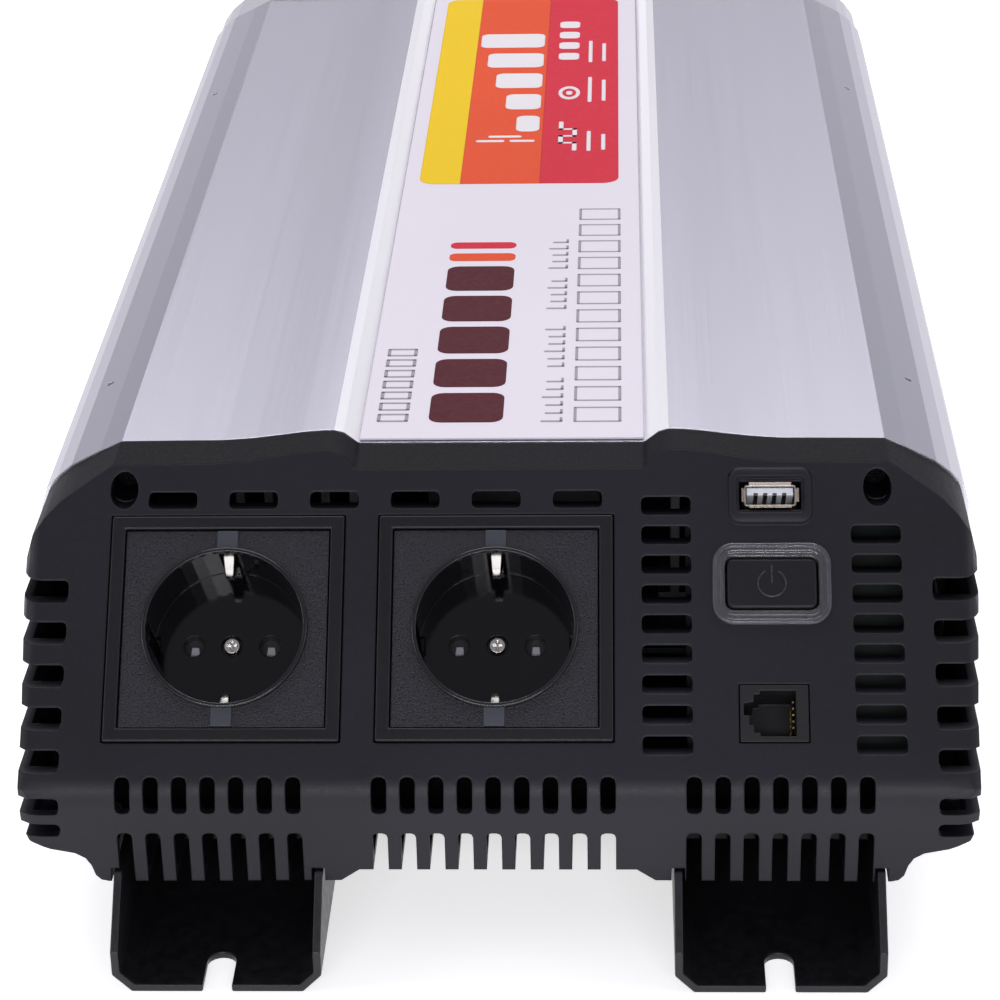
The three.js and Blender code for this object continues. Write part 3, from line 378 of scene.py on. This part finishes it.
# ---------------------------------------------------------------- finer copies of moulded pieces
def refined(src, name, width, seg=2, top=None, body="housing", angle=30, cuts=()):
    """The CAD piece with its flat facets joined and its edges rounded off."""
    me = N[src].data.copy()
    me.name = name
    bm = bmesh.new()
    bm.from_mesh(me)
    bmesh.ops.remove_doubles(bm, verts=bm.verts, dist=0.000004)
    bmesh.ops.dissolve_degenerate(bm, dist=0.000004, edges=bm.edges)
    bmesh.ops.dissolve_limit(bm, angle_limit=math.radians(1.0), verts=bm.verts, edges=bm.edges)
    for co, no in cuts:                     # keep every flat face simple enough to fill cleanly
        bmesh.ops.bisect_plane(bm, geom=bm.verts[:] + bm.edges[:] + bm.faces[:], dist=1e-6, plane_co=co, plane_no=no)
    if top:
        edges = [e for e in bm.edges if len(e.link_faces) == 2 and top(e)]
        bmesh.ops.bevel(bm, geom=edges, offset=0.0013, segments=3, profile=0.5, affect="EDGES", clamp_overlap=False)
    if not width:                           # only the faces are joined; the sharp edges stay sharp
        for e in bm.edges:
            e.smooth = len(e.link_faces) == 2 and e.calc_face_angle(0) < math.radians(angle)
    bm.to_mesh(me)
    bm.free()
    o = bpy.data.objects.new(name, me)
    SC.collection.objects.link(o)
    if width:
        b = o.modifiers.new("edges", "BEVEL")
        b.width = width
        b.segments = seg
        b.limit_method = "ANGLE"
        b.angle_limit = math.radians(angle)
        b.use_clamp_overlap = False
        b.miter_outer = "MITER_ARC" if seg > 2 else "MITER_SHARP"
    w = o.modifiers.new("normals", "WEIGHTED_NORMAL")
    w.keep_sharp = not width
    w.weight = 60
    for p in me.polygons:
        p.use_smooth = True
    bpy.context.view_layer.update()
    done = bpy.data.meshes.new_from_object(o.evaluated_get(bpy.context.evaluated_depsgraph_get()))
    o.modifiers.clear()
    o.data = done
    done.name = name
    # a rounded piece has a little less surface than the sharp one; anything else is a bad fill, and the sharp piece stays
    area = []
    for m in (N[src].data, done):
        tri = bmesh.new()
        tri.from_mesh(m)
        bmesh.ops.triangulate(tri, faces=tri.faces)
        area.append(sum(f.calc_area() for f in tri.faces))
        tri.free()
    print("REFINED", name, "area ratio %.4f" % (area[1] / area[0]), len(done.polygons))
    if not 0.93 < area[1] / area[0] < 1.003:
        bpy.data.objects.remove(o)
        return N[src]
    lo, hi = [Vector(c) for c in (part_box(src)[0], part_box(src)[1])]
    for v in done.vertices:
        for k in range(3):
            v.co[k] = min(max(v.co[k], lo[k]), hi[k])
    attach(o, body)
    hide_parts(src)
    return o


def w_of(p):
    return (p - FACE0).dot(OUT) * 1000

def s_of(p):
    return -(p - FACE0).dot(UP) * 1000

def paint(o, mats, pick):
    o.data.materials.clear()
    for m in mats:
        o.data.materials.append(MAT[m])
    for p in o.data.polygons:
        p.material_index = pick(p)


def cap_top_edge(e):
    """The crest between the sloped face and the top of the cap."""
    n = [f.normal for f in e.link_faces]
    up = max(n, key=lambda v: v.z)
    fr = min(n, key=lambda v: v.y)
    c = (e.verts[0].co + e.verts[1].co) / 2
    return up.z > 0.8 and fr.dot(OUT) > 0.98 and c.z > 0.1045 and abs(c.x) < 0.1

PX, PU = Vector((1, 0, 0)), UP
cap_cuts = [(Vector(((-0.8 + (i + 0.5) * 6.86) / 1000, 0, 0)), PX) for i in range(-14, 15)]
cap_cuts += [(Vector((x / 1000, 0, 0)), PX) for x in (-104.9, 104.9, -98, 98, 49, 83, 33, 57.2, 76)]
cap_cuts += [(Vector((0, 0, z / 1000)), Vector((0, 0, 1))) for z in (38.7, 51.5, 40)]
if REFINE:
    cap = refined("front_cap", "front_cap_moulding", 0, cuts=cap_cuts, angle=26)
    # the upward faces of the cap take the darker copy: painted shade on the top strip
    paint(cap, ["cap", "cap_top"], lambda p: 1 if p.normal.z > 0.25 and abs(p.normal.y) < 0.15 and p.center.z > 0.075 else 0)
    for k in ("left", "right"):
        rail = refined(k + "_foot_rail", k + "_foot_rail_bent", 0.00045)
        paint(rail, ["rail"], lambda p: 0)
    for k in ("left", "centre"):
        fr = refined(k + "_socket_frame", k + "_socket_frame_moulding", 0.0005)
        paint(fr, ["frame"], lambda p: 0)
    jk = refined("remote_jack", "remote_jack_moulding", 0.0002)
    paint(jk, ["jack"], lambda p: 0)
    bt = refined("power_button", "power_button_cap", 0.0007, seg=3, body="power_button")
    paint(bt, ["button"], lambda p: 0)
inserts = {}
for k, xc in (("left", SOCKET_X[0]), ("centre", SOCKET_X[1])):
    cuts = [(on_face(xc + d, SOCKET_S, 0), PX) for d in (-22.9, -12, 0.3, 12, 22.9)] + [(on_face(xc, SOCKET_S + d, 0), PU) for d in (-22.9, -12, 0.3, 12, 22.9)]
    inserts[k] = N[k + "_socket_insert"]
    def pick(p, xc=xc):
        c = p.center
        x, s, w = c.x * 1000 - xc, s_of(c) - SOCKET_S, w_of(c)
        rad = math.hypot(x, s)
        if rad > 20.35 and abs(x) < 2.7 and w > -0.29:
            return 3
        if rad > 20.35:
            return 0
        return 2 if w > -0.6 else 1
    paint(inserts[k], ["plate", "cup", "ring", "tab"], pick)


# ---------------------------------------------------------------- detail on the sloped face
def loft(bm, rings, closed=True):
    """Bridges outlines of equal length; closed joins the last one to the first."""
    rows = [[bm.verts.new(p) for p in ring] for ring in rings]
    k = len(rows[0])
    pairs = list(zip(rows, rows[1:])) + ([(rows[-1], rows[0])] if closed else [])
    for a, b in pairs:
        for i in range(k):
            bm.faces.new((a[i], a[(i + 1) % k], b[(i + 1) % k], b[i]))
    if not closed:
        bm.faces.new(list(reversed(rows[0])))
        bm.faces.new(rows[-1])


def rr(hw, hh, r, seg=8):
    return rounded(-hw, hw, -hh, hh, r, seg=seg)


# clear surround of the button: a rounded foot, a crowned rim and steps down to the opening
def surround():
    bm = bmesh.new()
    steps = [(0.0, 0.32), (0.0, 0.85), (0.03, 1.08), (0.10, 1.25), (0.20, 1.30), (0.30, 1.22), (0.34, 0.98), (0.44, 0.92), (0.60, 0.90),
             (0.66, 0.70), (0.78, 0.62), (0.93, 0.56), (1.0, 0.42), (1.0, -2.0), (0.88, -2.0), (0.88, 0.28)]
    rings = []
    for t, w in steps:
        hw, hh, q = 14.4 + (11.45 - 14.4) * t, 10.3 + (6.85 - 10.3) * t, 5.2 + (2.3 - 5.2) * t
        rings.append([on_face(PANEL_X + x, BTN_S - u, w) for x, u in rr(hw, hh, q, 10)])
    loft(bm, rings)
    o = make("power_button_surround", bm, MAT["clear"], smooth=50)
    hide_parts("power_button_bezel")

surround()


# embossed power symbol on the button: an open ring and a stroke, coloured lighter than the button as a painted
# highlight
def symbol():
    bm = bmesh.new()
    def tube(path, r, n=8):
        rings = []
        for i, (x, u) in enumerate(path):
            a = path[max(0, i - 1)]
            b = path[min(len(path) - 1, i + 1)]
            d = Vector((b[0] - a[0], b[1] - a[1])).normalized()
            nrm = Vector((-d.y, d.x))
            ring = []
            for k in range(n):
                t = 2 * math.pi * k / n
                ring.append(on_face(PANEL_X + x + nrm.x * r * math.cos(t), BTN_S - u - nrm.y * r * math.cos(t), 0.72 + r * 0.75 * math.sin(t)))
            rings.append(ring)
        loft(bm, rings, closed=False)
    tube([(3.4 * math.cos(math.radians(a)), 3.4 * math.sin(math.radians(a))) for a in range(118, 423, 8)], 0.24)
    tube([(0, 0.1 + 0.5 * k) for k in range(10)], 0.24)
    make("power_button_symbol", bm, MAT["symbol"], body="power_button", smooth=60)

symbol()


# folded steel shell of the USB port with its four flared lips, and the contacts on its tongue
def usb():
    bm = bmesh.new()
    out, inn = (6.35, 2.75, 0.6), (6.0, 2.4, 0.35)
    rings = []
    for (hw, hh, q), w in ((out, -12.0), (out, 0.35), (inn, 0.35), (inn, -11.6)):
        rings.append([on_face(PANEL_X + x, USB_S - u, w) for x, u in rr(hw, hh, q, 4)])
    loft(bm, rings)
    back = rr(6.1, 2.5, 0.4, 4)
    slab(bm, back, -12.0, -11.7, lambda x, u, w: on_face(PANEL_X + x, USB_S - u, w))
    for sgn in (-1, 1):
        # lips are bent out by 45 degrees: section (distance, w), length
        for sec, half, axis in ((((2.4, 0.15), (2.75, 0.1), (3.35, 0.75), (3.3, 0.95), (3.05, 0.95)), 5.2, 0), (((6.0, 0.15), (6.35, 0.1), (7.05, 0.75), (7.0, 0.95), (6.75, 0.95)), 1.75, 1)):
            ends = []
            for e, k in ((-half, 1), (-half + 0.3, 1), (half - 0.3, 1), (half, 1)):
                ring = []
                for i, (d, w) in enumerate(sec):
                    ee = e * (1.0 if i < 2 or abs(e) < half else 1.0)
                    x, u = (ee, sgn * d) if axis == 0 else (sgn * d, ee)
                    ring.append(on_face(PANEL_X + x, USB_S - u, w))
                ends.append(ring)
            loft(bm, ends, closed=False)
    o = make("usb_shell_folded", bm, MAT["usb"], smooth=35)
    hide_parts("usb_shell")
    bm = bmesh.new()
    for x in (-3.5, -1.15, 1.15, 3.5):
        prof = [(USB_S - 0.95, -0.56), (USB_S - 0.36, -0.56), (USB_S - 0.30, -0.9), (USB_S - 0.30, -9.0), (USB_S - 0.45, -9.2), (USB_S - 0.95, -1.2)]
        loft(bm, [[on_face(PANEL_X + x + e, q, w) for q, w in prof] for e in (-0.52, -0.3, 0.3, 0.52)], closed=False)
    make("usb_contacts", bm, MAT["pin"], smooth=30)

usb()


# polished rim round each cup, and the sprung earth contacts that bow into it
for k, xc in (("left", SOCKET_X[0]), ("centre", SOCKET_X[1])):
    bm = bmesh.new()
    sec = [(19.28, -0.5), (19.26, 0.95), (19.34, 1.12), (19.52, 1.2), (19.95, 1.2), (20.2, 1.12), (20.34, 0.95), (20.38, -0.45)]
    loft(bm, [[on_face(xc + q * math.cos(2 * math.pi * i / 96), SOCKET_S - q * math.sin(2 * math.pi * i / 96), w) for i in range(96)] for q, w in sec])
    make(k + "_socket_rim", bm, MAT["rim"], smooth=40)
    bm = bmesh.new()
    path = [(20.3, -1.6, 1.45), (20.15, -2.6, 1.4), (18.9, -3.8, 1.25), (16.6, -5.1, 1.05), (15.3, -6.0, 0.95), (14.85, -7.0, 0.9), (15.2, -8.0, 0.95), (17.0, -9.6, 1.1), (19.4, -11.4, 1.4), (19.85, -13, 1.5), (19.9, -20.9, 1.5)]
    for sgn in (-1, 1):
        rings = []
        for i, (u, w, h) in enumerate(path):
            a, b = path[max(0, i - 1)], path[min(len(path) - 1, i + 1)]
            d = Vector((b[0] - a[0], b[1] - a[1])).normalized()
            n = Vector((-d.y, d.x)) * 0.27
            prof = [(-h, 0.7), (-h * 0.8, 1.0), (h * 0.8, 1.0), (h, 0.7), (h, -0.7), (h * 0.8, -1.0), (-h * 0.8, -1.0), (-h, -0.7)]
            rings.append([on_face(xc + x, SOCKET_S - sgn * (u + n.x * g), w + n.y * g) for x, g in prof])
        loft(bm, rings, closed=False)
    slab(bm, [(-1.5, -19.9), (1.5, -19.9), (1.5, -5.6), (3.5, -4), (3.5, 4), (1.5, 5.6), (1.5, 19.9), (-1.5, 19.9), (-1.5, 5.6), (-3.5, 4), (-3.5, -4), (-1.5, -5.6)], -21.8, -21.3, lambda x, u, w: on_face(xc + x, SOCKET_S - u, w))
    o = make(k + "_earth_spring", bm, MAT["steel"], smooth=45)
    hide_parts(k + "_socket_earth_clip")


# small light ramps on the turning shutters, seen low in each pin hole
for k, xc in (("left", SOCKET_X[0]), ("centre", SOCKET_X[1])):
    for n, e in ((1, -1), (2, 1)):
        bm = bmesh.new()
        cx = xc + e * PIN_X
        rings = []
        for w, g in ((-19.38, 1.0), (-19.2, 0.97), (-19.06, 0.86)):
            rings.append([on_face(cx + x * g, SOCKET_S - u * g, w) for x, u in ((-1.3, -2.0), (1.3, -2.0), (0.9, 0.7), (-0.9, 0.7))])
        loft(bm, rings, closed=False)
        make("%s_shutter_ramp_%d" % (k, n), bm, MAT["ramp"], body=k + "_shutter", smooth=30)

# ---------------------------------------------------------------- stage, light and camera
def stage():
    bm = bmesh.new()
    slab(bm, [(-4, -3), (4, -3), (4, 6), (-4, 6)], -0.02, 0)
    me = bpy.data.meshes.new("studio_floor")
    bmesh.ops.recalc_face_normals(bm, faces=bm.faces)
    bm.to_mesh(me); bm.free()
    o = bpy.data.objects.new("studio_floor", me)
    SC.collection.objects.link(o)
    m, nt, b = new_mat("floor_paper")
    v = coords(nt)
    f = noise(nt, v, 3.0, 2)
    nt.links.new(ramp(nt, f, [(0.3, (0.93, 0.93, 0.94)), (0.7, (0.95, 0.95, 0.955))]), b.inputs["Base Color"])
    b.inputs["Roughness"].default_value = 0.9
    b.inputs["Specular IOR Level"].default_value = 0.1
    b.inputs["Emission Color"].default_value = (1, 1, 1, 1)
    b.inputs["Emission Strength"].default_value = 0.6
    me.materials.append(m)

stage()
world = bpy.data.worlds.new("studio")
SC.world = world
world.use_nodes = True
bg = world.node_tree.nodes["Background"]
bg.inputs["Color"].default_value = (0.955, 0.925, 1.03, 1)
# a large soft room: bright behind and low in front, darker high in front and at the sides
wt = world.node_tree
tc = wt.nodes.new("ShaderNodeTexCoord")
sx = wt.nodes.new("ShaderNodeSeparateXYZ")
wt.links.new(tc.outputs["Generated"], sx.inputs["Vector"])
def times(a, b):
    m = wt.nodes.new("ShaderNodeMath")
    m.operation = "MULTIPLY"
    wt.links.new(a, m.inputs[0])
    wt.links.new(b, m.inputs[1])
    return m.outputs[0]

half = wt.nodes.new("ShaderNodeMath")
half.operation = "MULTIPLY_ADD"
half.inputs[1].default_value = 0.5
half.inputs[2].default_value = 0.5
wt.links.new(sx.outputs["X"], half.inputs[0])
fy = ramp(wt, sx.outputs["Y"], [(0.0, WORLD[0]), (0.45, WORLD[1])])
fz = ramp(wt, sx.outputs["Z"], SKY)
fx = ramp(wt, half.outputs[0], [(0.30, 0.84), (0.55, 1.0)])
wt.links.new(times(times(fy, fz), fx), bg.inputs["Strength"])
gain = wt.nodes.new("ShaderNodeMath")
gain.operation = "MULTIPLY"
gain.inputs[1].default_value = 1.5
wt.links.new(bg.inputs["Strength"].links[0].from_socket, gain.inputs[0])
wt.links.new(gain.outputs[0], bg.inputs["Strength"])


def area(name, loc, target, size, power, color=(1, 1, 1), size_y=None):
    l = bpy.data.lights.new(name, "AREA")
    l.energy = power
    l.color = color
    l.size = size
    if size_y:
        l.shape = "RECTANGLE"
        l.size_y = size_y
    o = bpy.data.objects.new(name, l)
    o.location = loc
    d = Vector(target) - Vector(loc)
    o.rotation_euler = d.to_track_quat("-Z", "Y").to_euler()
    SC.collection.objects.link(o)
    return o

for L in LIGHTS:
    area(*L)

cam = bpy.data.cameras.new("camera")
co = bpy.data.objects.new("camera", cam)
SC.collection.objects.link(co)
cam.sensor_fit = "HORIZONTAL"
cam.sensor_width = 36
cam.lens = 113.07
cam.clip_start = 0.01
right = Vector((0.99925522, 0.03293708, -0.02010365))
down = Vector((-0.00381688, -0.43406418, -0.90087386))
fwd = Vector((-0.03839843, 0.90027964, -0.43361518))
rot = Matrix((right, -down, -fwd)).transposed()
co.matrix_world = Matrix.Translation(Vector((0.02994, SKIRT_Y - 0.64376, 0.43490))) @ rot.to_4x4()
SC.camera = co
SC.view_settings.view_transform = "Standard"
